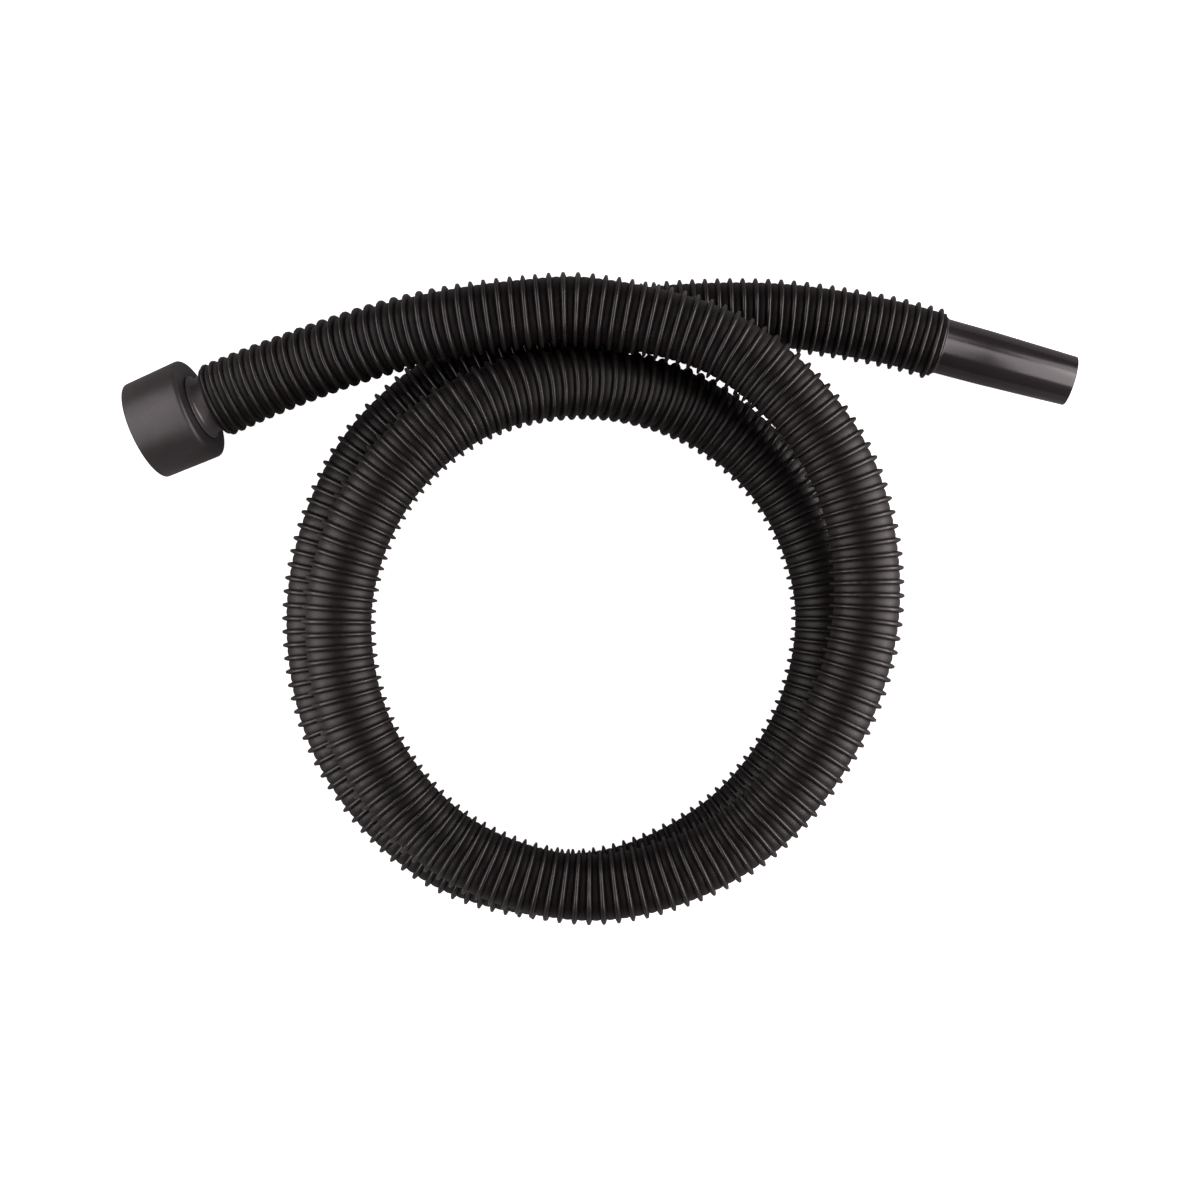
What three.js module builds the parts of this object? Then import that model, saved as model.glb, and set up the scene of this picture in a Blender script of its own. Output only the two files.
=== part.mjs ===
// Flexible suction hose for a small wet-and-dry vacuum cleaner, lying in a loose coil of two turns.
// Millimetres, +Z up. The origin is on the ground, midway between the two end fittings.

import * as THREE from 'three';

// ---- Driving dimensions -------------------------------------------------------------------------

const CLEARANCE = 0.3; // gap kept between neighbouring pieces
const ROUND_SIDES = 72; // facets around a moulded end fitting

// Hose: a plain tube here, from the inside of its wall out to the tips of its ring ribs.
const HOSE_OUTER_RADIUS = 22.4;
const HOSE_INNER_RADIUS = 18.4;
const HOSE_SIDES = 12;
const HOSE_STEPS = 80;

// Machine cuff: a push-fit cup for a 2 1/2 inch port, a little wider at its shoulder.
const CUFF_RADIUS = 31.7;
const CUFF_MOUTH_RADIUS = 31;
const CUFF_LENGTH = 37.4;
const CUFF_WALL = 2.8;
const CUFF_FLOOR = 3.2;
const CUFF_EDGE = 3; // rounded corner at the shoulder
const MOUTH_EDGE = 0.8; // rounded corner at the mouth

// Neck: a pipe that turns in the cuff's floor and carries the hose.
const NECK_RADIUS = 17.6;
const NECK_BORE_RADIUS = 15;
const NECK_SHOWN_LENGTH = 10.2; // from the cuff's shoulder to the end of the hose
const COLLAR_RADIUS = 20.4;
const COLLAR_THICKNESS = 0.9;
const COLLAR_SLOPE = 2.3; // how far the collar's sloping side runs on along the neck
const NECK_TAIL_LENGTH = 6.5; // behind the cuff's floor, inside the cup
const GROOVE_DEPTH = 1.1;
const GROOVE_WIDTH = 2.4;
const SPIGOT_RADIUS = 16.9; // the hose is pushed over it and glued
const SPIGOT_LENGTH = 18;

// Retaining ring: a split ring in the neck's groove.
const RING_RADIUS = 21.6;
const RING_THICKNESS = GROOVE_WIDTH - 2 * CLEARANCE;
const RING_GAP_ANGLE = THREE.MathUtils.degToRad(30);

// Nozzle tube: a slightly tapered pipe that accepts 1 1/4 inch tools.
const NOZZLE_LENGTH = 85.6;
const NOZZLE_ROOT_RADIUS = 17.2;
const NOZZLE_STRAIGHT_LENGTH = 30; // almost without taper as far as this
const NOZZLE_STRAIGHT_RADIUS = 16.95;
const NOZZLE_TIP_RADIUS = 15.5;
const NOZZLE_WALL = 2.1;
const FLANGE_RADIUS = 18.3;
const FLANGE_THICKNESS = 1.2;
const NOZZLE_SPIGOT_RADIUS = 16.8;
const NOZZLE_SPIGOT_LENGTH = 26;

// ---- Route of the hose --------------------------------------------------------------------------

// Where the hose climbs from the machine cuff to the top of the coil.
const LEAD_IN = [
  [-238.1, -7.35, 37.6],
  [-217.1, 1.15, 40.95],
  [-190, 10.95, 46],
  [-157.3, 21.4, 54],
  [-122.8, 30.6, 62],
  [-87.9, 37.4, 66.9],
  [-48.9, 42.5, 67.8],
];

// The coil, seen as a clock face: distance from the clock's centre and height at each hour.
// The first turn, from twelve o'clock round to eleven, lies on top of the second.
const COIL_CENTRE = [-8, -130.7];
const COIL_HOURS = [
  [174.6, 67.6],
  [173.7, 67.6],
  [171, 67.6],
  [166, 67.6],
  [163.3, 67.7],
  [168, 67.7],
  [171.2, 67.7],
  [167.4, 67.6],
  [158.4, 67.4],
  [150, 67.4],
  [142.1, 67.4],
  [136.5, 63.9],
  [133.1, 49.6],
  [135.1, 30.8],
  [140.1, 23.5],
  [146.6, 22.5],
  [153, 22.5],
  [162.9, 22.5],
  [175.3, 22.5],
  [181.8, 22.5],
  [176.7, 22.5],
  [168.7, 22.5],
  [165.1, 22.5],
];

// Where the hose leaves the coil under its own lead-in and runs to the nozzle.
const LEAD_OUT = [
  [-105, 0.4, 22.5],
  [-65.9, 22, 22.5],
  [-8.6, 39.3, 22.5],
  [37.8, 46.2, 22.5],
  [84.9, 48.1, 22.5],
  [115.9, 46.8, 22.5],
  [146.4, 42.8, 22.5],
  [181.6, 36.2, 22.5],
  [207.7, 29.1, 22.5],
];

function coilPoints() {
  return COIL_HOURS.map(([radius, height], hour) => {
    const angle = THREE.MathUtils.degToRad(30 * hour);
    const x = COIL_CENTRE[0] + radius * Math.sin(angle);
    const y = COIL_CENTRE[1] + radius * Math.cos(angle);
    return [x, y, height];
  });
}

function hoseRoute() {
  const points = [...LEAD_IN, ...coilPoints(), ...LEAD_OUT];
  const vectors = points.map((point) => new THREE.Vector3(...point));
  return new THREE.CatmullRomCurve3(vectors, false, 'centripetal');
}

// ---- Helpers ------------------------------------------------------------------------------------

function plastic(color, roughness) {
  return new THREE.MeshStandardMaterial({ color, roughness, metalness: 0 });
}

// A ring-shaped solid from a closed outline of [radius, distance along the axis] points.
function turned(outline) {
  const points = outline.map(([radius, along]) => new THREE.Vector2(radius, along));
  points.push(points[0].clone());
  return new THREE.LatheGeometry(points, ROUND_SIDES);
}

// Three points of a rounded corner, from angle start to angle start + 90 degrees.
function corner(radius, along, size, startDegrees) {
  return [0, 45, 90].map((step) => {
    const angle = THREE.MathUtils.degToRad(startDegrees + step);
    return [radius + size * Math.cos(angle), along + size * Math.sin(angle)];
  });
}

function regularOutline(radius, sides) {
  const points = [];
  for (let side = 0; side < sides; side += 1) {
    const angle = (2 * Math.PI * side) / sides;
    points.push(new THREE.Vector2(radius * Math.cos(angle), radius * Math.sin(angle)));
  }
  return points;
}

// A holder whose own Y axis, the axis of every turned piece, runs along a direction from a point.
function axisHolder(start, direction) {
  const holder = new THREE.Group();
  holder.position.copy(start);
  holder.quaternion.setFromUnitVectors(new THREE.Vector3(0, 1, 0), direction);
  return holder;
}

function addPiece(holder, name, geometry, material) {
  const mesh = new THREE.Mesh(geometry, material);
  mesh.name = name;
  holder.add(mesh);
  return mesh;
}

// ---- Pieces -------------------------------------------------------------------------------------

// The cup, from its mouth at 0 to its shoulder at CUFF_LENGTH, with a hole for the neck.
function machineCuff() {
  const inside = CUFF_MOUTH_RADIUS - CUFF_WALL;
  const hole = NECK_RADIUS + CLEARANCE;
  return turned([
    [inside, 0],
    ...corner(CUFF_MOUTH_RADIUS - MOUTH_EDGE, MOUTH_EDGE, MOUTH_EDGE, -90),
    ...corner(CUFF_RADIUS - CUFF_EDGE, CUFF_LENGTH - CUFF_EDGE, CUFF_EDGE, 0),
    [hole, CUFF_LENGTH],
    [hole, CUFF_LENGTH - CUFF_FLOOR],
    [inside, CUFF_LENGTH - CUFF_FLOOR],
  ]);
}

// The neck, on the cuff's axis: tail and groove inside the cup, collar outside, spigot in the hose.
function swivelNeck() {
  const floorInside = CUFF_LENGTH - CUFF_FLOOR;
  const collarStart = CUFF_LENGTH + CLEARANCE;
  const grooveEnd = floorInside - CLEARANCE;
  const grooveStart = grooveEnd - GROOVE_WIDTH;
  const grooveRadius = NECK_RADIUS - GROOVE_DEPTH;
  const hoseStart = CUFF_LENGTH + NECK_SHOWN_LENGTH;
  return turned([
    [NECK_BORE_RADIUS, floorInside - NECK_TAIL_LENGTH],
    [NECK_RADIUS, floorInside - NECK_TAIL_LENGTH],
    [NECK_RADIUS, grooveStart],
    [grooveRadius, grooveStart],
    [grooveRadius, grooveEnd],
    [NECK_RADIUS, grooveEnd],
    [NECK_RADIUS, collarStart],
    [COLLAR_RADIUS, collarStart],
    [COLLAR_RADIUS, collarStart + COLLAR_THICKNESS],
    [NECK_RADIUS, collarStart + COLLAR_THICKNESS + COLLAR_SLOPE],
    [NECK_RADIUS, hoseStart - CLEARANCE],
    [SPIGOT_RADIUS, hoseStart - CLEARANCE],
    [SPIGOT_RADIUS, hoseStart + SPIGOT_LENGTH],
    [NECK_BORE_RADIUS, hoseStart + SPIGOT_LENGTH],
  ]);
}

// The split ring, flat in XY; its hole leaves a gap to the bottom of the neck's groove.
function retainingRing() {
  const inside = NECK_RADIUS - GROOVE_DEPTH + CLEARANCE;
  const first = RING_GAP_ANGLE / 2;
  const last = 2 * Math.PI - first;
  const shape = new THREE.Shape();
  shape.absarc(0, 0, RING_RADIUS, first, last, false);
  shape.absarc(0, 0, inside, last, first, true);
  shape.closePath();
  return new THREE.ExtrudeGeometry(shape, {
    depth: RING_THICKNESS,
    bevelEnabled: false,
    curveSegments: ROUND_SIDES / 2,
  });
}

// The nozzle, from the end of the hose at 0 to its tip at NOZZLE_LENGTH.
function nozzleTube() {
  const tipBore = NOZZLE_TIP_RADIUS - NOZZLE_WALL;
  const rootBore = NOZZLE_ROOT_RADIUS - NOZZLE_WALL;
  return turned([
    [rootBore, -NOZZLE_SPIGOT_LENGTH],
    [NOZZLE_SPIGOT_RADIUS, -NOZZLE_SPIGOT_LENGTH],
    [NOZZLE_SPIGOT_RADIUS, CLEARANCE],
    [FLANGE_RADIUS, CLEARANCE],
    [FLANGE_RADIUS, CLEARANCE + FLANGE_THICKNESS],
    [NOZZLE_ROOT_RADIUS, CLEARANCE + FLANGE_THICKNESS],
    [NOZZLE_STRAIGHT_RADIUS, NOZZLE_STRAIGHT_LENGTH],
    [NOZZLE_TIP_RADIUS, NOZZLE_LENGTH - MOUTH_EDGE],
    [NOZZLE_TIP_RADIUS - MOUTH_EDGE, NOZZLE_LENGTH],
    [tipBore, NOZZLE_LENGTH],
    [rootBore, 0],
  ]);
}

// The hose: a hollow twelve-sided section carried along the route.
function hoseTube(route) {
  const section = new THREE.Shape(regularOutline(HOSE_OUTER_RADIUS, HOSE_SIDES));
  section.holes.push(new THREE.Path(regularOutline(HOSE_INNER_RADIUS, HOSE_SIDES)));
  return new THREE.ExtrudeGeometry(section, {
    steps: HOSE_STEPS,
    extrudePath: route,
    bevelEnabled: false,
  });
}

// ---- Assembly -----------------------------------------------------------------------------------

const route = hoseRoute();
const hoseStart = route.getPoint(0);
const hoseEnd = route.getPoint(1);
const secondPoint = new THREE.Vector3(...LEAD_IN[1]);
const lastButOne = new THREE.Vector3(...LEAD_OUT[LEAD_OUT.length - 2]);
const cuffAxis = secondPoint.sub(hoseStart).normalize();
const nozzleAxis = hoseEnd.clone().sub(lastButOne).normalize();

const cuffMouth = hoseStart.clone().addScaledVector(cuffAxis, -(CUFF_LENGTH + NECK_SHOWN_LENGTH));
const machineEnd = axisHolder(cuffMouth, cuffAxis);
addPiece(machineEnd, 'machine_cuff', machineCuff(), plastic(0x2b2c2d, 0.45));
addPiece(machineEnd, 'swivel_neck', swivelNeck(), plastic(0x303132, 0.4));

const ring = addPiece(machineEnd, 'retaining_ring', retainingRing(), plastic(0x1d1e1f, 0.5));
const grooveEnd = CUFF_LENGTH - CUFF_FLOOR - CLEARANCE;
ring.rotation.x = Math.PI / 2; // the ring's flat side turns to face along the holder's Y axis
ring.position.y = grooveEnd - CLEARANCE;

const toolEnd = axisHolder(hoseEnd, nozzleAxis);
addPiece(toolEnd, 'nozzle_tube', nozzleTube(), plastic(0x262728, 0.4));

const object = new THREE.Group();
object.add(machineEnd, toolEnd);
addPiece(object, 'hose', hoseTube(route), plastic(0x1a1b1c, 0.5));

export default object;
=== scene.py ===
# %% Vacuum hose: set up
import math

import bmesh
import bpy
import numpy as np
from mathutils import Matrix, Vector


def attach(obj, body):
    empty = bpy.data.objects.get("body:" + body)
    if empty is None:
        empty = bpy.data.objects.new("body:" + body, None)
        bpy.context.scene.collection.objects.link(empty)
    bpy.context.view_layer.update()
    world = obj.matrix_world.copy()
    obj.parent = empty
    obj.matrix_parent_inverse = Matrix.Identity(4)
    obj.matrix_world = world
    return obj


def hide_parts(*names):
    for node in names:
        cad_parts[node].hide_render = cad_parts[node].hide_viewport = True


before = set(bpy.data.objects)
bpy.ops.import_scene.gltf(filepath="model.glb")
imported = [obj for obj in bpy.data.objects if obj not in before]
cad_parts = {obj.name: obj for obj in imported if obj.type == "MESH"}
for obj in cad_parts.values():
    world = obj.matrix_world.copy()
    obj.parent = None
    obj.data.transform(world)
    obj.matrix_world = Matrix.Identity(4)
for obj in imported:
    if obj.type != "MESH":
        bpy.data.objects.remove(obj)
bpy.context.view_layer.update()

MM = 0.001

# %% [markdown]
# A corrugated hose is black on black: it is drawn only by the light that runs along its crests.
# The camera hangs straight above it, a little over a metre up, and looks down on a plain white
# floor. It comes first, because the length of hose that it can't see is checked against it.

# %% Camera
CAMERA_FOOT = (-2.0 * MM, -129.5 * MM)
CAMERA_HEIGHT = 1266 * MM
CAMERA_LENS = 60  # millimetres
SENSOR_WIDTH = 36  # millimetres
NEAREST_SEEN = 10 * MM

camera_data = bpy.data.cameras.new("camera")
camera = bpy.data.objects.new("camera", camera_data)
bpy.context.scene.collection.objects.link(camera)
camera.location = (*CAMERA_FOOT, CAMERA_HEIGHT)
camera_data.lens = CAMERA_LENS
camera_data.sensor_width = SENSOR_WIDTH
camera_data.clip_start = NEAREST_SEEN
bpy.context.scene.camera = camera
print("camera straight above", CAMERA_FOOT)

# %% [markdown]
# The route is the line through the middle of the hose. It climbs from the machine cuff, makes one
# turn on top, drops inside that turn, makes a second turn on the floor, and leaves under its own
# lead-in. The ends are lists of points. The coil is read like a clock face, as a distance and a
# height at each hour, and a loop turns the hours into points. One smooth curve through all the
# points, denser than the ribs, is what everything on the hose follows.

# %% Route of the hose
LEAD_IN = [
    (-238.1, -7.35, 37.6),
    (-217.1, 1.15, 40.95),
    (-190, 10.95, 46),
    (-157.3, 21.4, 54),
    (-122.8, 30.6, 62),
    (-87.9, 37.4, 66.9),
    (-48.9, 42.5, 67.8),
]
COIL_CENTRE = (-8, -130.7)
DEGREES_PER_HOUR = 30
COIL_HOURS = [  # distance from the centre and height, from twelve o'clock on, nearly twice round
    (174.6, 67.6),
    (173.7, 67.6),
    (171, 67.6),
    (166, 67.6),
    (163.3, 67.7),
    (168, 67.7),
    (171.2, 67.7),
    (167.4, 67.6),
    (158.4, 67.4),
    (150, 67.4),
    (142.1, 67.4),
    (136.5, 63.9),
    (133.1, 49.6),
    (135.1, 30.8),
    (140.1, 23.5),
    (146.6, 22.5),
    (153, 22.5),
    (162.9, 22.5),
    (175.3, 22.5),
    (181.8, 22.5),
    (176.7, 22.5),
    (168.7, 22.5),
    (165.1, 22.5),
]
LEAD_OUT = [
    (-105, 0.4, 22.5),
    (-65.9, 22, 22.5),
    (-8.6, 39.3, 22.5),
    (37.8, 46.2, 22.5),
    (84.9, 48.1, 22.5),
    (115.9, 46.8, 22.5),
    (146.4, 42.8, 22.5),
    (181.6, 36.2, 22.5),
    (207.7, 29.1, 22.5),
]
STEPS_PER_POINT = 40


def coil_points():
    for hour, (radius, height) in enumerate(COIL_HOURS):
        angle = math.radians(DEGREES_PER_HOUR * hour)
        x = COIL_CENTRE[0] + radius * math.sin(angle)
        y = COIL_CENTRE[1] + radius * math.cos(angle)
        yield (x, y, height)


def between(first, second, t_first, t_second, t):
    share = (t - t_first) / (t_second - t_first)
    return first * (1 - share) + second * share


def smooth_curve(points):
    """A centripetal Catmull-Rom curve: it passes through every point and never overshoots."""
    start = 2 * points[0] - points[1]
    end = 2 * points[-1] - points[-2]
    path = [start, *points, end]
    line = []
    for p in zip(path, path[1:], path[2:], path[3:]):
        t = [0.0]
        for a, b in zip(p, p[1:]):
            t.append(t[-1] + math.sqrt(np.linalg.norm(b - a)))
        for step in np.linspace(t[1], t[2], STEPS_PER_POINT, endpoint=False):
            a = [between(p[i], p[i + 1], t[i], t[i + 1], step) for i in range(3)]
            b = [between(a[i], a[i + 1], t[i], t[i + 2], step) for i in range(2)]
            line.append(between(b[0], b[1], t[1], t[2], step))
    line.append(points[-1])
    return np.array(line)


ROUTE_POINTS = [np.array(point) * MM for point in [*LEAD_IN, *coil_points(), *LEAD_OUT]]
ROUTE = smooth_curve(ROUTE_POINTS)
HOSE_LENGTH = float(np.linalg.norm(np.diff(ROUTE, axis=0), axis=1).sum())
print("hose length, metres:", round(HOSE_LENGTH, 3))

# %% [markdown]
# Blender's operators act on whatever is selected and active, as they do for a hand at the
# keyboard. These few helpers select the right piece first, so that no later step changes another
# one.

# %% Helpers for working as by hand


def deselect_all():
    if bpy.context.object and bpy.context.object.mode != "OBJECT":
        bpy.ops.object.mode_set(mode="OBJECT")
    bpy.ops.object.select_all(action="DESELECT")


def only(piece):
    deselect_all()
    piece.select_set(True)
    bpy.context.view_layer.objects.active = piece


def apply_modifiers(piece):
    only(piece)
    for modifier in list(piece.modifiers):
        bpy.ops.object.modifier_apply(modifier=modifier.name)


def smooth_by_angle(piece, degrees):
    only(piece)
    bpy.ops.object.shade_smooth_by_angle(angle=math.radians(degrees), keep_sharp_edges=False)


def faces_outward(piece):
    only(piece)
    bpy.ops.object.mode_set(mode="EDIT")
    bpy.ops.mesh.select_all(action="SELECT")
    bpy.ops.mesh.normals_make_consistent(inside=False)
    bpy.ops.object.mode_set(mode="OBJECT")


def triangles(piece):
    piece.data.calc_loop_triangles()
    return len(piece.data.loop_triangles)


print("helpers ready")

# %% [markdown]
# The hose is blown or formed in one piece: a thin wall, with a thin sharp fin standing out all
# round once every few millimetres and a low swelling of the wall between fins. The fins keep it
# round, and the soft wall between them lets it bend. It could be a curve with a bevel, but that
# makes no fins, or a displacement, but that rounds them off. So one fin is turned up from a
# circle, extrude by extrude, and an array repeats it. The last fin's edge welds onto the next
# one's.

# %% One fin and its piece of wall
PITCH = 7.6 * MM
HOSE_SIDES = 28
TIP_RADIUS = 22.4 * MM
GROOVE_RADIUS = 19.4 * MM
LINER_RADIUS = 18.4 * MM
HALF_RIB = [  # distance from the middle of a fin, and radius
    (0, TIP_RADIUS),
    (0.7 * MM, 22.2 * MM),
    (1.15 * MM, 21.1 * MM),
    (1.65 * MM, GROOVE_RADIUS),
    (2.5 * MM, 19.7 * MM),
    (PITCH / 2, 19.85 * MM),
]
RIB_OUTLINE = [(PITCH / 2 - across, radius) for across, radius in reversed(HALF_RIB)]
RIB_OUTLINE += [(PITCH / 2 + across, radius) for across, radius in HALF_RIB[1:]]


def turn_up(name, outline, sides):
    """A surface of revolution about X: a circle, then one extrude and one resize per station."""
    first_along, first_radius = outline[0]
    deselect_all()
    bpy.ops.mesh.primitive_circle_add(
        vertices=sides,
        radius=first_radius,
        location=(first_along, 0, 0),
        rotation=(0, math.pi / 2, 0),
    )
    piece = bpy.context.object
    piece.name = name
    bpy.ops.object.transform_apply(location=True, rotation=True, scale=True)
    bpy.ops.object.mode_set(mode="EDIT")
    bpy.ops.mesh.select_all(action="SELECT")
    for (along, radius), (next_along, next_radius) in zip(outline, outline[1:]):
        move = {"value": (next_along - along, 0, 0)}
        bpy.ops.mesh.extrude_region_move(TRANSFORM_OT_translate=move)
        grow = next_radius / radius
        centre = (next_along, 0, 0)
        bpy.ops.transform.resize(value=(1, grow, grow), center_override=centre)
    bpy.ops.object.mode_set(mode="OBJECT")
    return piece


MERGE_WITHIN = 0.01 * MM


def repeated(piece, count, step):
    array = piece.modifiers.new("repeat", "ARRAY")
    array.count = count
    array.use_relative_offset = False
    array.use_constant_offset = True
    array.constant_offset_displace = (step, 0, 0)
    array.use_merge_vertices = True
    array.merge_threshold = MERGE_WITHIN
    apply_modifiers(piece)


RIB_COUNT = round(HOSE_LENGTH / PITCH) + 1
hose = turn_up("corrugated_hose", RIB_OUTLINE, HOSE_SIDES)
repeated(hose, RIB_COUNT, PITCH)
print("fins:", RIB_COUNT, "triangles:", triangles(hose))

# %% [markdown]
# The wall is closed: a plain liner runs inside it, and the two are bridged at both ends, so the
# hose has a real thickness of nearly a millimetre where it can be looked into.

# %% Liner inside the wall
RIBS_PER_LINER_STEP = 3
LINER_STEPS = RIB_COUNT // RIBS_PER_LINER_STEP
END_WITHIN = 0.05 * MM


def boundary_at(piece, along):
    """Selects the open edges that lie in the plane X = along, in edit mode."""
    mesh = bmesh.from_edit_mesh(piece.data)
    for edge in mesh.edges:
        near = all(abs(vertex.co.x - along) < END_WITHIN for vertex in edge.verts)
        edge.select_set(edge.is_boundary and near)
    bmesh.update_edit_mesh(piece.data)


full_length = RIB_COUNT * PITCH
liner_step = full_length / LINER_STEPS
liner = turn_up("liner", [(0, LINER_RADIUS), (liner_step, LINER_RADIUS)], HOSE_SIDES)
repeated(liner, LINER_STEPS, liner_step)
deselect_all()
liner.select_set(True)
hose.select_set(True)
bpy.context.view_layer.objects.active = hose
bpy.ops.object.join()
bpy.ops.object.mode_set(mode="EDIT")
bpy.ops.mesh.select_mode(type="EDGE")
for end_along in (0, full_length):
    boundary_at(hose, end_along)
    bpy.ops.mesh.bridge_edge_loops()
bpy.ops.object.mode_set(mode="OBJECT")
faces_outward(hose)
print("closed hose, triangles:", triangles(hose))

# %% [markdown]
# No hose is perfectly even. The fins stand closer together where the ends are pushed over the
# fittings, the first ones are stretched wider over the neck, and each one sits a hair out of
# place. So before it is bent, every point moves along the hose by a smooth law plus a small seeded
# scatter, and swells near the cuff.

# %% Spacing of the fins
rng = np.random.default_rng(7)
CUFF_SQUEEZE = 0.3  # how much closer the first fins stand, as a share of the pitch
CUFF_FADE = 2.7  # fins over which that fades away
NOZZLE_SQUEEZE = 0.05
NOZZLE_FADE = 8
SCATTER = 0.02  # most that one pitch strays, as a share of it


def rib_edges():
    """Where each fin's piece of wall starts along the finished hose."""
    index = np.arange(RIB_COUNT)
    pitch = 1 - CUFF_SQUEEZE * np.exp(-index / CUFF_FADE)
    pitch -= NOZZLE_SQUEEZE * np.exp(-(RIB_COUNT - index) / NOZZLE_FADE)
    pitch += rng.uniform(-SCATTER, SCATTER, RIB_COUNT)
    edges = np.concatenate([[0], np.cumsum(pitch)])
    return edges / edges[-1] * HOSE_LENGTH


def vertex_array(piece):
    co = np.empty(len(piece.data.vertices) * 3)
    piece.data.vertices.foreach_get("co", co)
    return co.reshape(-1, 3)


def put_vertices(piece, co):
    piece.data.vertices.foreach_set("co", co.ravel())
    piece.data.update()


EDGES = rib_edges()
TIP_SWELL = 0.9 * MM  # the stretch over the neck lifts the tips a little and the grooves more
GROOVE_SWELL = 2 * MM
SWELL_LENGTH = 45 * MM
LINER_WITHIN = 0.1 * MM
straight = vertex_array(hose)
along = np.interp(straight[:, 0] / PITCH, np.arange(RIB_COUNT + 1), EDGES)
radius = np.hypot(straight[:, 1], straight[:, 2])
height = np.clip((radius - GROOVE_RADIUS) / (TIP_RADIUS - GROOVE_RADIUS), 0, 1)
on_liner = radius < LINER_RADIUS + LINER_WITHIN
lift = GROOVE_SWELL + (TIP_SWELL - GROOVE_SWELL) * height
lift = np.where(on_liner, TIP_SWELL, lift) * np.exp(-((along / SWELL_LENGTH) ** 2))
straight[:, 0] = along
straight[:, 1:] *= (1 + lift / radius)[:, None]
put_vertices(hose, straight)
pitches = np.diff(EDGES) / MM
print("first pitch and middle pitch, mm:", pitches[0].round(2), pitches[RIB_COUNT // 2].round(2))

# %% [markdown]
# While the hose is still straight, it is easy to say how high on its fin each point is. Once it is
# bent, that can't be read from its place any more. So it is written on the points now, as an
# attribute, which bends along with them.

# %% Marks on the straight hose


def mark_points(piece, name, values):
    marks = piece.data.attributes.new(name, "FLOAT", "POINT")
    marks.data.foreach_set("value", values)
    print(name, "marked from", round(float(min(values)), 3), "to", round(float(max(values)), 3))


mark_points(hose, "fin_height", height)

# %% [markdown]
# The real hose is made straight and then lies as it is dropped, and the same is done here: a Curve
# modifier lays the straight hose along the route. Modelling each fin in its final place would need
# hundreds of turned copies, and they wouldn't join. The fins are sharper than the smoothing angle
# allows for the fittings, so the hose is smoothed at a wider angle and its tips still look round.

# %% Bend the hose along its route
HOSE_SMOOTH_ANGLE = 80


def route_curve(name, line):
    data = bpy.data.curves.new(name, "CURVE")
    data.dimensions = "3D"
    data.twist_mode = "MINIMUM"
    spline = data.splines.new("POLY")
    spline.points.add(len(line) - 1)
    for point, place in zip(spline.points, line):
        point.co = (*place, 1)
    curve = bpy.data.objects.new(name, data)
    bpy.context.scene.collection.objects.link(curve)
    return curve


guide = route_curve("route", ROUTE)
bend = hose.modifiers.new("bend", "CURVE")
bend.object = guide
bend.deform_axis = "POS_X"
apply_modifiers(hose)
bpy.data.objects.remove(guide)
smooth_by_angle(hose, HOSE_SMOOTH_ANGLE)
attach(hose, "hose_line")
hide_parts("hose")
hose_low = vertex_array(hose).min(0) / MM
hose_high = vertex_array(hose).max(0) / MM
print("hose lies between, mm:", hose_low.round(1), hose_high.round(1))

# %% [markdown]
# The end fittings are injection moulded and round, so each is turned up the same way: its outline
# is followed all the way round, from the mouth over the outside and back through the bore. The
# last loop is welded to the first, a bevel rounds the corners that a mould rounds, and the piece
# is then stood on its axis.

# %% Turned fittings
FITTING_SIDES = 128
FITTING_SMOOTH_ANGLE = 35
CORNER_SEGMENTS = 4


def round_corners(piece, width, segments, angle):
    bevel = piece.modifiers.new("moulded corners", "BEVEL")
    bevel.width = width
    bevel.segments = segments
    bevel.limit_method = "ANGLE"
    bevel.angle_limit = math.radians(angle)
    apply_modifiers(piece)
    smooth_by_angle(piece, FITTING_SMOOTH_ANGLE)


def closed_turning(name, outline, rounding, sharper_than):
    """Corners sharper than the angle given, in degrees, are rounded."""
    piece = turn_up(name, [*outline, outline[0]], FITTING_SIDES)
    only(piece)
    bpy.ops.object.mode_set(mode="EDIT")
    bpy.ops.mesh.select_all(action="SELECT")
    bpy.ops.mesh.remove_doubles(threshold=MERGE_WITHIN)
    bpy.ops.mesh.normals_make_consistent(inside=False)
    bpy.ops.object.mode_set(mode="OBJECT")
    round_corners(piece, rounding, CORNER_SEGMENTS, sharper_than)
    return piece


def stand_on_axis(piece, start, direction):
    """Moves the mesh of a piece made along X, so that it runs from start in that direction."""
    turn = Vector((1, 0, 0)).rotation_difference(Vector(direction))
    matrix = Matrix.Translation(Vector(start)) @ turn.to_matrix().to_4x4()
    piece.data.transform(matrix)
    piece.data.update()


def unit(vector):
    return vector / np.linalg.norm(vector)


HOSE_START = ROUTE_POINTS[0]
HOSE_END = ROUTE_POINTS[-1]
CUFF_AXIS = unit(ROUTE_POINTS[1] - ROUTE_POINTS[0])
NOZZLE_AXIS = unit(ROUTE_POINTS[-1] - ROUTE_POINTS[-2])
CUFF_LENGTH = 37.4 * MM
NECK_SHOWN = 10.2 * MM
CUFF_MOUTH = HOSE_START - CUFF_AXIS * (CUFF_LENGTH + NECK_SHOWN)
NECK_RADIUS = 17.6 * MM
GAP = 0.3 * MM  # play between the parts that turn
print("cuff points along", CUFF_AXIS.round(3), "nozzle along", NOZZLE_AXIS.round(3))

# %% [markdown]
# The cuff is a short cup that pushes over the machine's inlet. It is a little narrower at its
# mouth, so that it comes out of its mould, and its shoulder is well rounded. The shoulder's arc is
# laid out point by point, because one bevel can't give it a larger radius than the other corners.

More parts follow.
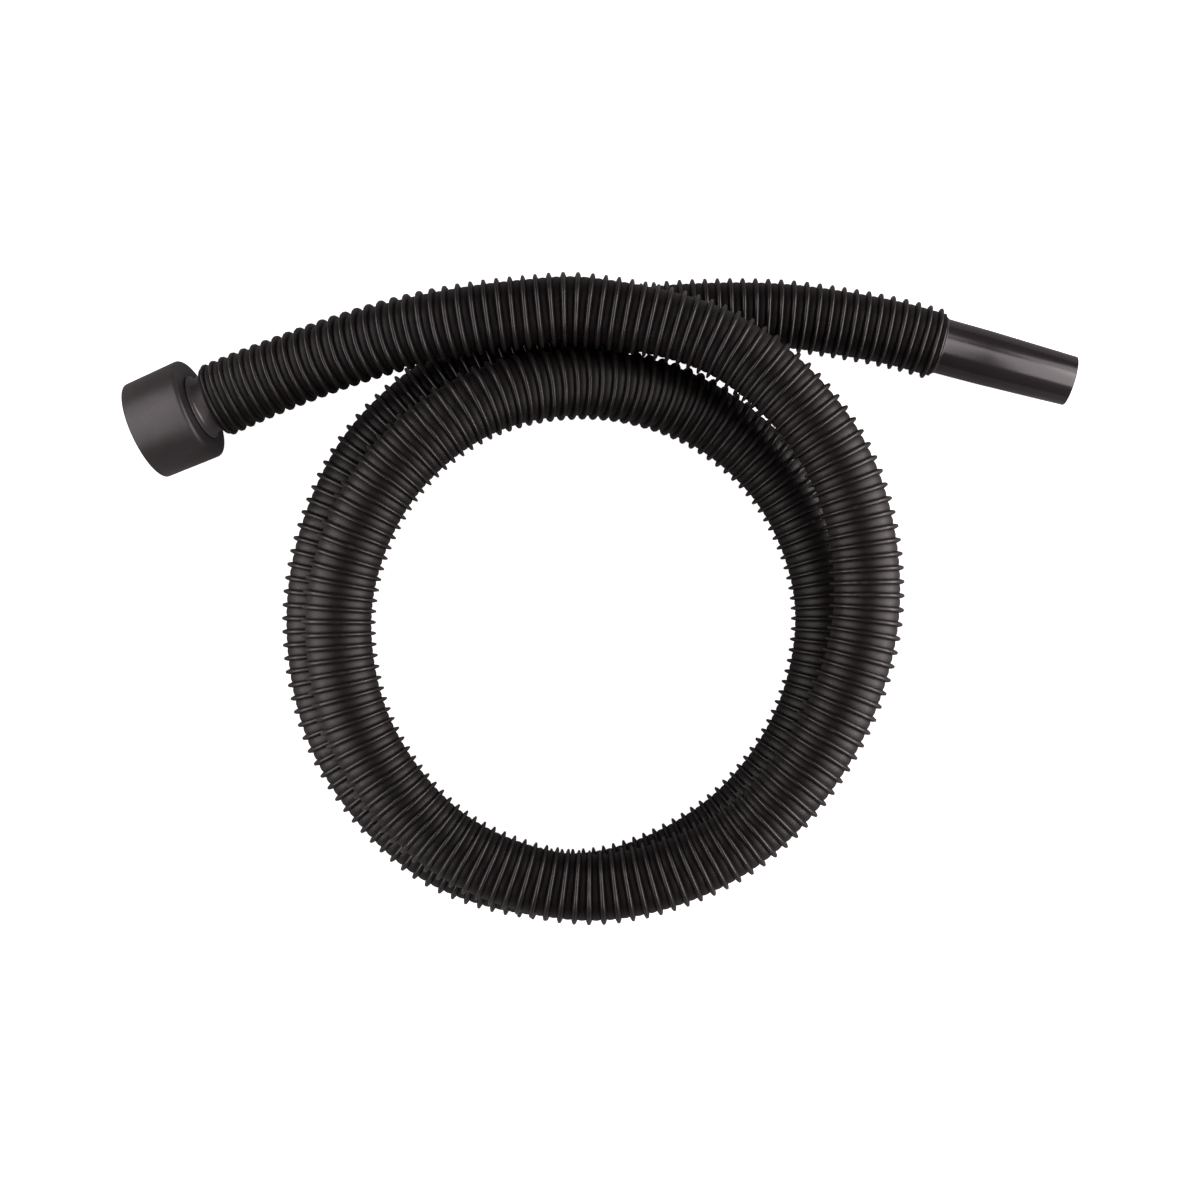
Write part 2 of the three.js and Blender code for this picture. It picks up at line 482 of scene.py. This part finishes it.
# %% Machine cuff
CUFF_RADIUS = 31.7 * MM
CUFF_DRAFT = 0.7 * MM
CUFF_WALL = 2.8 * MM
CUFF_FLOOR = 3.2 * MM
CUFF_CORNER = 1.1 * MM
SHOULDER_ROUND = 3 * MM
cuff_inside = CUFF_RADIUS - CUFF_DRAFT - CUFF_WALL
cuff_floor_inside = CUFF_LENGTH - CUFF_FLOOR
SHOULDER = [
    (
        CUFF_LENGTH - SHOULDER_ROUND * (1 - math.sin(math.radians(turn))),
        CUFF_RADIUS - SHOULDER_ROUND * (1 - math.cos(math.radians(turn))),
    )
    for turn in range(0, 91, 15)
]
cuff = closed_turning(
    "moulded_cuff",
    [
        (0, cuff_inside),
        (0, CUFF_RADIUS - CUFF_DRAFT),
        *SHOULDER,
        (CUFF_LENGTH, NECK_RADIUS + GAP),
        (cuff_floor_inside, NECK_RADIUS + GAP),
        (cuff_floor_inside, cuff_inside),
    ],
    CUFF_CORNER,
    sharper_than=40,
)
stand_on_axis(cuff, CUFF_MOUTH, CUFF_AXIS)
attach(cuff, "cuff")
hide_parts("machine_cuff")
print("cuff triangles:", triangles(cuff))

# %% [markdown]
# The neck is the pipe that the hose is pushed over. It passes through the cup's floor and turns in
# it: a low collar keeps it from going in, and a groove inside the cup holds the ring that keeps it
# from coming out. Its outline is followed from the tail inside the cup to the end inside the hose.

# %% Swivel neck
NECK_BORE = 15 * MM
NECK_TAIL = 6.5 * MM  # how far it reaches past the cup's floor, inside the cup
NECK_SPIGOT = 18 * MM  # how far it reaches into the hose
NECK_SPIGOT_RADIUS = 16.9 * MM
NECK_END_RADIUS = 17.5 * MM
NECK_CORNER = 0.5 * MM
RING_GROOVE = 2.4 * MM
RING_GROOVE_RADIUS = 16.5 * MM
COLLAR = [  # distance from the collar's foot, and radius
    (0, 20.4 * MM),
    (0.9 * MM, 20.4 * MM),
    (1.3 * MM, 19.2 * MM),
    (2 * MM, 18.3 * MM),
    (3.2 * MM, 17.75 * MM),
]
collar_start = CUFF_LENGTH + GAP
groove_end = cuff_floor_inside - GAP
groove_start = groove_end - RING_GROOVE
neck_end = CUFF_LENGTH + NECK_SHOWN
neck_tail = cuff_floor_inside - NECK_TAIL
neck = closed_turning(
    "swivel_neck_pipe",
    [
        (neck_tail, NECK_BORE),
        (neck_tail, NECK_RADIUS),
        (groove_start, NECK_RADIUS),
        (groove_start, RING_GROOVE_RADIUS),
        (groove_end, RING_GROOVE_RADIUS),
        (groove_end, NECK_RADIUS),
        (collar_start, NECK_RADIUS),
        *[(collar_start + out, radius) for out, radius in COLLAR],
        (neck_end - GAP, NECK_END_RADIUS),
        (neck_end - GAP, NECK_SPIGOT_RADIUS),
        (neck_end + NECK_SPIGOT, NECK_SPIGOT_RADIUS),
        (neck_end + NECK_SPIGOT, NECK_BORE),
    ],
    NECK_CORNER,
    sharper_than=30,
)
stand_on_axis(neck, CUFF_MOUTH, CUFF_AXIS)
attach(neck, "hose_line")
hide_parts("swivel_neck")
print("neck triangles:", triangles(neck))

# %% [markdown]
# The nozzle is one tapered pipe. Tools push over its tip, and the taper makes them jam before they
# reach the hose. A low flange is where the hose stops, and the rest runs on inside it, hidden.

# %% Nozzle tube
NOZZLE_LENGTH = 85.6 * MM
NOZZLE_SPIGOT = 26 * MM  # how far it reaches into the hose
NOZZLE_SPIGOT_RADIUS = 16.8 * MM
NOZZLE_ROOT_BORE = 14.7 * MM
NOZZLE_TIP_BORE = 13.4 * MM
NOZZLE_CORNER = 0.8 * MM
NOZZLE_OUTSIDE = [  # distance from the hose's end, and radius: the flange, then the taper
    (GAP, 18.3 * MM),
    (1.5 * MM, 18.2 * MM),
    (2.2 * MM, 17.2 * MM),
    (30 * MM, 16.95 * MM),
    (NOZZLE_LENGTH, 15.5 * MM),
]
nozzle = closed_turning(
    "tapered_nozzle",
    [
        (-NOZZLE_SPIGOT, NOZZLE_ROOT_BORE),
        (-NOZZLE_SPIGOT, NOZZLE_SPIGOT_RADIUS),
        (GAP, NOZZLE_SPIGOT_RADIUS),
        *NOZZLE_OUTSIDE,
        (NOZZLE_LENGTH, NOZZLE_TIP_BORE),
        (0, NOZZLE_ROOT_BORE),
    ],
    NOZZLE_CORNER,
    sharper_than=30,
)
stand_on_axis(nozzle, HOSE_END, NOZZLE_AXIS)
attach(nozzle, "hose_line")
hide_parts("nozzle_tube")
print("nozzle triangles:", triangles(nozzle))

# %% [markdown]
# The ring snaps into the neck's groove from the side, so it is split. It could be a torus with a
# piece cut out, but a plane spun most of the way round gives the gap and both its end faces in one
# step.

# %% Retaining ring
RING_TURN = 330  # degrees of the circle that the split ring covers
RING_STEPS = 96
RING_INNER = 16.8 * MM
RING_OUTER = 21.6 * MM
RING_THICKNESS = 1.8 * MM
RING_CORNER = 0.25 * MM
RING_CORNER_SEGMENTS = 2
RING_SHARPER_THAN = 30
RING_MERGE_WITHIN = 0.005 * MM


def split_ring(name, inner, outer, thickness):
    """A square section, spun about X for most of a turn, which leaves the ring's gap."""
    deselect_all()
    middle = (inner + outer) / 2
    bpy.ops.mesh.primitive_plane_add(size=1, location=(0, middle, 0))
    piece = bpy.context.object
    piece.name = name
    piece.scale = (thickness, outer - inner, 1)
    bpy.ops.object.transform_apply(location=True, rotation=True, scale=True)
    bpy.ops.object.mode_set(mode="EDIT")
    bpy.ops.mesh.select_all(action="SELECT")
    bpy.ops.mesh.spin(
        steps=RING_STEPS, angle=math.radians(RING_TURN), center=(0, 0, 0), axis=(1, 0, 0)
    )
    bpy.ops.mesh.select_all(action="SELECT")
    bpy.ops.mesh.remove_doubles(threshold=RING_MERGE_WITHIN)
    bpy.ops.mesh.normals_make_consistent(inside=False)
    bpy.ops.object.mode_set(mode="OBJECT")
    round_corners(piece, RING_CORNER, RING_CORNER_SEGMENTS, RING_SHARPER_THAN)
    return piece


ring = split_ring("split_retaining_ring", RING_INNER, RING_OUTER, RING_THICKNESS)
stand_on_axis(ring, CUFF_MOUTH + CUFF_AXIS * (groove_start + RING_GROOVE / 2), CUFF_AXIS)
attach(ring, "hose_line")
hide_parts("retaining_ring")
print("ring triangles:", triangles(ring))

# %% [markdown]
# A hose is a thick cord: it has a length, a line that it follows and something at its far end.
# Here its length is printed, and the nozzle sits at its far end.

print("cord length, metres:", round(HOSE_LENGTH, 4))

# %% [markdown]
# Every piece is black plastic, so colour does little and the surface does the rest. What tells one
# moulding from another is how fine its grain is, how glossy it is, where handling has polished it
# and where a film of dust dulls it. Those effects are built once, as node groups that put out
# values, and each finish uses them with its own numbers. Image textures would need unwrapping and
# would blur up close, so everything is worked out from the place on the piece.

# %% Node helpers


def new_group(name, inputs, output):
    group = bpy.data.node_groups.new(name, "ShaderNodeTree")
    for label, value in inputs.items():
        socket = group.interface.new_socket(
            label, in_out="INPUT", socket_type="NodeSocketFloat"
        )
        socket.default_value = value
    group.interface.new_socket("Place", in_out="INPUT", socket_type="NodeSocketVector")
    group.interface.new_socket(output, in_out="OUTPUT", socket_type="NodeSocketFloat")
    return group, group.nodes.new("NodeGroupInput"), group.nodes.new("NodeGroupOutput")


def feed(tree, source, socket):
    """Sets a socket from a number or a colour, or links it to another socket."""
    if isinstance(source, bpy.types.NodeSocket):
        tree.links.new(source, socket)
    else:
        socket.default_value = source


def noise(tree, place, scale, detail=3.0, roughness=0.5):
    node = tree.nodes.new("ShaderNodeTexNoise")
    feed(tree, place, node.inputs["Vector"])
    feed(tree, scale, node.inputs["Scale"])
    node.inputs["Detail"].default_value = detail
    node.inputs["Roughness"].default_value = roughness
    return node.outputs["Fac"]


def calc(tree, operation, first, second=0.0):
    node = tree.nodes.new("ShaderNodeMath")
    node.operation = operation
    feed(tree, first, node.inputs[0])
    feed(tree, second, node.inputs[1])
    return node.outputs[0]


def spread(tree, value, low, high, to_low, to_high):
    """Carries a value smoothly from one range to another, and holds it at both ends."""
    node = tree.nodes.new("ShaderNodeMapRange")
    node.interpolation_type = "SMOOTHSTEP"
    for socket, source in zip(node.inputs, (value, low, high, to_low, to_high)):
        feed(tree, source, socket)
    return node.outputs["Result"]


def blend_colours(tree, share, first, second):
    node = tree.nodes.new("ShaderNodeMix")
    node.data_type = "RGBA"
    feed(tree, share, node.inputs["Factor"])
    feed(tree, first, node.inputs[6])
    feed(tree, second, node.inputs[7])
    return node.outputs[2]


def turned_place(tree, place, angle, stretch):
    node = tree.nodes.new("ShaderNodeMapping")
    node.vector_type = "POINT"
    tree.links.new(place, node.inputs["Vector"])
    node.inputs["Rotation"].default_value = (0, 0, angle)
    node.inputs["Scale"].default_value = stretch
    return node.outputs["Vector"]


print("node helpers ready")

# %% [markdown]
# A spark-eroded mould leaves a fine pebbling on whatever is moulded in it. One noise alone looks
# like sand, so a fine one is mixed with a broader one, as small pits lie among larger ones.

# %% Moulded grain
BROAD_SHARE = 0.35
BROAD_SCALE = 0.13  # of the fine scale


def moulded_grain_group():
    group, inlet, outlet = new_group("moulded_grain", {"Grains per metre": 2500.0}, "Height")
    place = inlet.outputs["Place"]
    grains = inlet.outputs["Grains per metre"]
    fine = noise(group, place, grains, 2.0)
    broad = noise(group, place, calc(group, "MULTIPLY", grains, BROAD_SCALE), 3.0)
    fine_part = calc(group, "MULTIPLY", fine, 1 - BROAD_SHARE)
    broad_part = calc(group, "MULTIPLY", broad, BROAD_SHARE)
    group.links.new(calc(group, "ADD", fine_part, broad_part), outlet.inputs["Height"])
    return group


MOULDED_GRAIN = moulded_grain_group()
print("grain group made")

# %% [markdown]
# Hands and sockets rub a moulding in patches, and within a patch in short streaks. So a broad
# noise, cut off at an edge that the share of rubbed surface sets, is multiplied by a finer one.

# %% Handling marks
STREAKS_PER_PATCH = 14.0
PATCH_EDGE = 0.12  # how softly a patch ends


def handling_marks_group():
    inputs = {"Patches per metre": 40.0, "Share": 0.4}
    group, inlet, outlet = new_group("handling_marks", inputs, "Mask")
    place = inlet.outputs["Place"]
    scale = inlet.outputs["Patches per metre"]
    patches = noise(group, place, scale, 4.0, 0.6)
    streaks = noise(group, place, calc(group, "MULTIPLY", scale, STREAKS_PER_PATCH), 2.0)
    edge = calc(group, "SUBTRACT", 0.75, calc(group, "MULTIPLY", inlet.outputs["Share"], 0.5))
    patch_end = calc(group, "ADD", edge, PATCH_EDGE)
    patch_mask = spread(group, patches, edge, patch_end, 0.0, 1.0)
    streak_mask = spread(group, streaks, 0.42, 0.62, 0.0, 1.0)
    group.links.new(calc(group, "MULTIPLY", patch_mask, streak_mask), outlet.inputs["Mask"])
    return group


HANDLING_MARKS = handling_marks_group()
print("marks group made")

# %% [markdown]
# Dust is a thin grey veil on whatever faces up, thicker in some places than in others.

# %% Dust film


def dust_film_group():
    inputs = {"Clouds per metre": 30.0, "Amount": 0.1}
    group, inlet, outlet = new_group("dust_film", inputs, "Mask")
    facing = group.nodes.new("ShaderNodeNewGeometry")
    apart = group.nodes.new("ShaderNodeSeparateXYZ")
    group.links.new(facing.outputs["Normal"], apart.inputs["Vector"])
    upward = spread(group, apart.outputs["Z"], 0.1, 0.95, 0.0, 1.0)
    clouds = noise(group, inlet.outputs["Place"], inlet.outputs["Clouds per metre"], 5.0, 0.65)
    thick = spread(group, clouds, 0.3, 0.75, 0.25, 1.0)
    amount = calc(group, "MULTIPLY", thick, inlet.outputs["Amount"])
    veil = calc(group, "MULTIPLY", upward, amount)
    group.links.new(veil, outlet.inputs["Mask"])
    return group


DUST_FILM = dust_film_group()
print("dust group made")

# %% [markdown]
# Corners rub first. A corner is where a vertex stands out beyond its neighbours, so each moulding
# gets an attribute that says how far it does, from 0 on a flat to 1 on a sharp outer edge. Cycles
# has a pointiness value, but it is measured afresh wherever it is read and an attribute isn't.

# %% Corners that rub
SHARPEST_CORNER = 0.35


def mark_corners(piece):
    mesh = bmesh.new()
    mesh.from_mesh(piece.data)
    corners = []
    for vertex in mesh.verts:
        rise = 0.0
        for edge in vertex.link_edges:
            toward = (edge.other_vert(vertex).co - vertex.co).normalized()
            rise = max(rise, -toward.dot(vertex.normal))
        corners.append(min(rise / SHARPEST_CORNER, 1))
    mesh.free()
    mark_points(piece, "corner", corners)


for piece in (cuff, neck, nozzle, ring):
    mark_corners(piece)

# %% [markdown]
# All the finishes share one layout: a dark colour that drifts a little from place to place,
# lightened where it is rubbed and greyed where dust lies, a roughness that follows the same masks,
# and a bump from the grain. Each finish is then a short list of numbers, and can be read and tuned
# as one.

# %% One layout for every finish
DUST_COLOUR = (0.11, 0.107, 0.1, 1)
MARKS_SHARE = 0.35  # how much a handling mark counts beside a rubbed corner
GRAIN_DEPTH = 0.1 * MM


def grown(group, tree, place, **values):
    node = tree.nodes.new("ShaderNodeGroup")
    node.node_tree = group
    tree.links.new(place, node.inputs["Place"])
    for label, value in values.items():
        node.inputs[label.replace("_", " ")].default_value = value
    return node.outputs[0]


def attribute(tree, name):
    node = tree.nodes.new("ShaderNodeAttribute")
    node.attribute_name = name
    return node.outputs["Fac"]


def object_place(tree):
    return tree.nodes.new("ShaderNodeTexCoord").outputs["Object"]


def new_finish(name):
    material = bpy.data.materials.new(name)
    material.use_nodes = True
    return material, material.node_tree, material.node_tree.nodes["Principled BSDF"]


def bump(tree, shader, height, strength, distance):
    node = tree.nodes.new("ShaderNodeBump")
    node.inputs["Strength"].default_value = strength
    node.inputs["Distance"].default_value = distance
    tree.links.new(height, node.inputs["Height"])
    tree.links.new(node.outputs["Normal"], shader.inputs["Normal"])


def moulded_finish(name, look, place_of=object_place):
    material, tree, shader = new_finish(name)
    place = place_of(tree)
    grain = grown(MOULDED_GRAIN, tree, place, Grains_per_metre=look["grains"])
    marks = grown(
        HANDLING_MARKS, tree, place, Patches_per_metre=look["patches"], Share=look["rubbed"]
    )
    dust = grown(DUST_FILM, tree, place, Amount=look["dust"])
    drift = spread(tree, noise(tree, place, look["drift_scale"], 4.0, 0.6), 0.3, 0.7, 0.0, 1.0)
    colour = blend_colours(tree, drift, look["dark"], look["light"])
    unevenly = spread(tree, drift, 0.2, 0.8, 0.3, 1.0)
    wear = calc(tree, "MULTIPLY", attribute(tree, "corner"), unevenly)
    rubbed = calc(tree, "MAXIMUM", wear, calc(tree, "MULTIPLY", marks, MARKS_SHARE))
    worn_share = calc(tree, "MULTIPLY", rubbed, look["wear"])
    colour = blend_colours(tree, worn_share, colour, look["worn"])
    tree.links.new(blend_colours(tree, dust, colour, DUST_COLOUR), shader.inputs["Base Color"])
    low, high = look["roughness"]
    rough = spread(tree, grain, 0.3, 0.7, low, high)
    rough = calc(tree, "SUBTRACT", rough, calc(tree, "MULTIPLY", rubbed, look["polish"]))
    tree.links.new(calc(tree, "ADD", rough, dust), shader.inputs["Roughness"])
    shader.inputs["Specular IOR Level"].default_value = look["specular"]
    bump(tree, shader, grain, look["bump"], GRAIN_DEPTH)
    return material


def wear_finish(piece, material):
    piece.data.materials.clear()
    piece.data.materials.append(material)
    print(piece.name, "wears", material.name)


print("one layout for every finish ready")

# %% [markdown]
# The cuff is moulded in a satin plastic, a shade greyer than the hose, with a fine even grain that
# spreads the light. The neck comes from a smoother mould. It is made a shade lighter than the
# cuff, because it stands in the cuff's shadow and its shape would be lost there. The ring inside
# is plain.

# %% Cuff, neck and ring
CUFF_LOOK = {
    "grains": 2600.0,
    "patches": 38.0,
    "rubbed": 0.45,
    "dust": 0.05,
    "drift_scale": 24.0,
    "dark": (0.018, 0.0162, 0.0166, 1),
    "light": (0.024, 0.0217, 0.0221, 1),
    "worn": (0.085, 0.081, 0.08, 1),
    "wear": 0.35,
    "polish": 0.06,
    "roughness": (0.34, 0.43),
    "specular": 0.5,
    "bump": 0.25,
}
NECK_LOOK = {
    **CUFF_LOOK,
    "grains": 3400.0,
    "dark": (0.03, 0.027, 0.0277, 1),
    "light": (0.038, 0.0342, 0.035, 1),
    "roughness": (0.26, 0.33),
    "bump": 0.15,
}
RING_LOOK = {
    **CUFF_LOOK,
    "grains": 1800.0,
    "dust": 0.02,
    "dark": (0.012, 0.0115, 0.0115, 1),
    "light": (0.018, 0.0172, 0.017, 1),
    "roughness": (0.5, 0.6),
    "bump": 0.4,
}
wear_finish(cuff, moulded_finish("cuff_satin", CUFF_LOOK))
wear_finish(neck, moulded_finish("neck_satin", NECK_LOOK))
wear_finish(ring, moulded_finish("ring_matte", RING_LOOK))

# %% [markdown]
# The nozzle is glossier. Tools are pushed on and pulled off it, which leaves faint marks that run
# along the tube. The pattern is turned to the tube's own direction and stretched along it.

# %% Nozzle
NOZZLE_TURN = math.atan2(NOZZLE_AXIS[1], NOZZLE_AXIS[0])
ALONG_STRETCH = 0.05  # the pattern runs twenty times as far along the tube as across it
NOZZLE_LOOK = {
    "grains": 1500.0,
    "patches": 45.0,
    "rubbed": 0.3,
    "dust": 0.03,
    "drift_scale": 40.0,
    "dark": (0.011, 0.0095, 0.0105, 1),
    "light": (0.015, 0.013, 0.0142, 1),
    "worn": (0.05, 0.0475, 0.047, 1),
    "wear": 0.12,
    "polish": 0.02,
    "roughness": (0.17, 0.21),
    "specular": 0.5,
    "bump": 0.12,
}


def along_nozzle(tree):
    return turned_place(tree, object_place(tree), -NOZZLE_TURN, (ALONG_STRETCH, 1, 1))


wear_finish(nozzle, moulded_finish("nozzle_semi_gloss", NOZZLE_LOOK, along_nozzle))

# %% [markdown]
# The hose is the blackest piece. Its fins are wiped whenever it is dragged or coiled, so their
# tips are smoother and a touch greyer, and the grooves between them stay dull and dark. The mask
# for that is the fin height that was marked before the hose was bent. The shade also drifts slowly
# along the hose.

# %% Hose
HOSE_GROOVE = (0.0036, 0.0026, 0.0024, 1)
HOSE_TIP = (0.0135, 0.0105, 0.0098, 1)
HOSE_DRIFT = (0.0068, 0.005, 0.0047, 1)
HOSE_RUBBED = (0.03, 0.0288, 0.028, 1)
HOSE_GRAINS = 2200.0
HOSE_PATCHES = 22.0
HOSE_RUBBED_SHARE = 0.5
HOSE_DUST_CLOUDS = 16.0
HOSE_DUST = 0.018
HOSE_DRIFT_SCALE = 9.0
HOSE_ROUGHNESS = (0.5, 0.34)  # in the grooves, and on the tips
HOSE_SPECULAR = 0.36
HOSE_BUMP = 0.2


def hose_finish():
    material, tree, shader = new_finish("hose_black")
    place = object_place(tree)
    fin = attribute(tree, "fin_height")
    grain = grown(MOULDED_GRAIN, tree, place, Grains_per_metre=HOSE_GRAINS)
    marks = grown(
        HANDLING_MARKS, tree, place, Patches_per_metre=HOSE_PATCHES, Share=HOSE_RUBBED_SHARE
    )
    dust = grown(DUST_FILM, tree, place, Clouds_per_metre=HOSE_DUST_CLOUDS, Amount=HOSE_DUST)
    drift = noise(tree, place, HOSE_DRIFT_SCALE, 4.0, 0.6)
    shade = spread(tree, drift, 0.35, 0.65, 0.0, 0.6)
    wall = blend_colours(tree, shade, HOSE_GROOVE, HOSE_DRIFT)
    near_tip = spread(tree, fin, 0.45, 1.0, 0.0, 1.0)
    wiped = calc(tree, "MULTIPLY", near_tip, spread(tree, drift, 0.3, 0.7, 0.6, 1.0))
    colour = blend_colours(tree, wiped, wall, HOSE_TIP)
    rubbed = calc(tree, "MULTIPLY", marks, wiped)
    colour = blend_colours(tree, rubbed, colour, HOSE_RUBBED)
    tree.links.new(blend_colours(tree, dust, colour, DUST_COLOUR), shader.inputs["Base Color"])
    rough = spread(tree, fin, 0.2, 1.0, *HOSE_ROUGHNESS)
    rough = calc(tree, "ADD", rough, spread(tree, grain, 0.3, 0.7, -0.04, 0.05))
    tree.links.new(rough, shader.inputs["Roughness"])
    shader.inputs["Specular IOR Level"].default_value = HOSE_SPECULAR
    bump(tree, shader, grain, HOSE_BUMP, GRAIN_DEPTH)
    return material


wear_finish(hose, hose_finish())

# %% [markdown]
# A truly white floor would throw so much light back that the hose's flanks turned grey. So the
# floor has two shaders: a white one, helped by light of its own, that the camera sees, and a grey
# one that every other ray meets.

# %% Floor
FLOOR_SIZE = 3.2
FLOOR_WHITE = (0.92, 0.92, 0.92, 1)
FLOOR_GREY = (0.35, 0.35, 0.35, 1)
FLOOR_GLOW = 0.88
FLOOR_ROUGHNESS = 0.9
FLOOR_SPECULAR = 0.1


def by_ray(tree, seen, unseen, output):
    """Shows one shader to the camera and another to every other ray."""
    ray = tree.nodes.new("ShaderNodeLightPath")
    mix = tree.nodes.new("ShaderNodeMixShader")
    tree.links.new(ray.outputs["Is Camera Ray"], mix.inputs["Fac"])
    tree.links.new(unseen, mix.inputs[1])
    tree.links.new(seen, mix.inputs[2])
    tree.links.new(mix.outputs["Shader"], tree.nodes[output].inputs["Surface"])


def floor_shader(tree, colour):
    shader = tree.nodes.new("ShaderNodeBsdfPrincipled")
    shader.inputs["Base Color"].default_value = colour
    shader.inputs["Roughness"].default_value = FLOOR_ROUGHNESS
    shader.inputs["Specular IOR Level"].default_value = FLOOR_SPECULAR
    return shader


def floor_finish():
    material = bpy.data.materials.new("floor_white")
    material.use_nodes = True
    tree = material.node_tree
    tree.nodes.remove(tree.nodes["Principled BSDF"])
    seen = floor_shader(tree, FLOOR_WHITE)
    seen.inputs["Emission Color"].default_value = (1, 1, 1, 1)
    seen.inputs["Emission Strength"].default_value = FLOOR_GLOW
    unseen = floor_shader(tree, FLOOR_GREY)
    by_ray(tree, seen.outputs["BSDF"], unseen.outputs["BSDF"], "Material Output")
    return material


def floor():
    deselect_all()
    bpy.ops.mesh.primitive_plane_add(size=FLOOR_SIZE, location=(0, 0, 0))
    plane = bpy.context.object
    plane.name = "floor"
    plane.data.materials.append(floor_finish())


floor()
print("floor laid, metres across:", FLOOR_SIZE)

# %% [markdown]
# A black hose shows as lines of light along its fins, so the light that every piece gets comes
# from the sides and low: two long soft boxes, left and right, the right one brighter. They are
# kept out of the camera's sight, since other views would look straight into them.

# %% Soft boxes
MIDDLE = Vector((0, -0.12, 0.03))
LAMP_DISTANCE = 1.8
LAMP_TINT = (1, 0.91, 0.925)  # a little warm, as the black of the real plastic looks


def softbox(name, azimuth, elevation, width, height, power):
    turn, rise = math.radians(azimuth), math.radians(elevation)
    across = math.cos(rise)
    toward = Vector((math.cos(turn) * across, math.sin(turn) * across, math.sin(rise)))
    data = bpy.data.lights.new(name, "AREA")
    data.shape = "RECTANGLE"
    data.size = width
    data.size_y = height
    data.energy = power
    data.color = LAMP_TINT
    lamp = bpy.data.objects.new(name, data)
    lamp.location = MIDDLE + toward * LAMP_DISTANCE
    lamp.rotation_euler = (-toward).to_track_quat("-Z", "Y").to_euler()
    lamp.visible_camera = False
    bpy.context.scene.collection.objects.link(lamp)
    return lamp


softbox("right_softbox", 0, 35, 3.0, 1.3, 46)
softbox("left_softbox", 180, 35, 3.0, 1.3, 32)
print("two soft boxes set")

# %% [markdown]
# The rest is light for one kind of piece only, which light linking allows. Low strips, just above
# the floor, draw the outer flanks of the coil, but would glare on the smooth fittings. Boxes
# nearly overhead give each fitting the broad streak that shows that it is round, but would fill
# the hose's grooves.

# %% Light for single pieces


def light_only(lamp, pieces):
    lit = bpy.data.collections.new(lamp.name + "_lights")
    for piece in pieces:
        lit.objects.link(piece)
    lamp.light_linking.receiver_collection = lit
    print(lamp.name, "lights only", [piece.name for piece in pieces])


light_only(softbox("right_low_strip", 0, 7, 2.7, 0.45, 46), [hose])
light_only(softbox("left_low_strip", 180, 7, 2.7, 0.45, 27), [hose])
light_only(softbox("left_high_box", 196, 64, 2.4, 0.7, 12), [cuff, neck])
light_only(softbox("right_high_box", -6, 57, 1.9, 0.9, 25), [nozzle, neck])

# %% [markdown]
# The room is white to look at, so that no view shows a dark sky beyond the floor, but it gives
# only a trace of light.

# %% Room
ROOM_SEEN = 1.2
ROOM_LIGHT = 0.03


def white_room():
    world = bpy.data.worlds.new("studio")
    world.use_nodes = True
    tree = world.node_tree
    seen = tree.nodes["Background"]
    seen.inputs["Color"].default_value = (1, 1, 1, 1)
    seen.inputs["Strength"].default_value = ROOM_SEEN
    light = tree.nodes.new("ShaderNodeBackground")
    light.inputs["Color"].default_value = (1, 1, 1, 1)
    light.inputs["Strength"].default_value = ROOM_LIGHT
    by_ray(tree, seen.outputs["Background"], light.outputs["Background"], "World Output")
    return world


bpy.context.scene.world = white_room()
bpy.context.scene.view_settings.view_transform = "Standard"
print("room light:", ROOM_LIGHT)
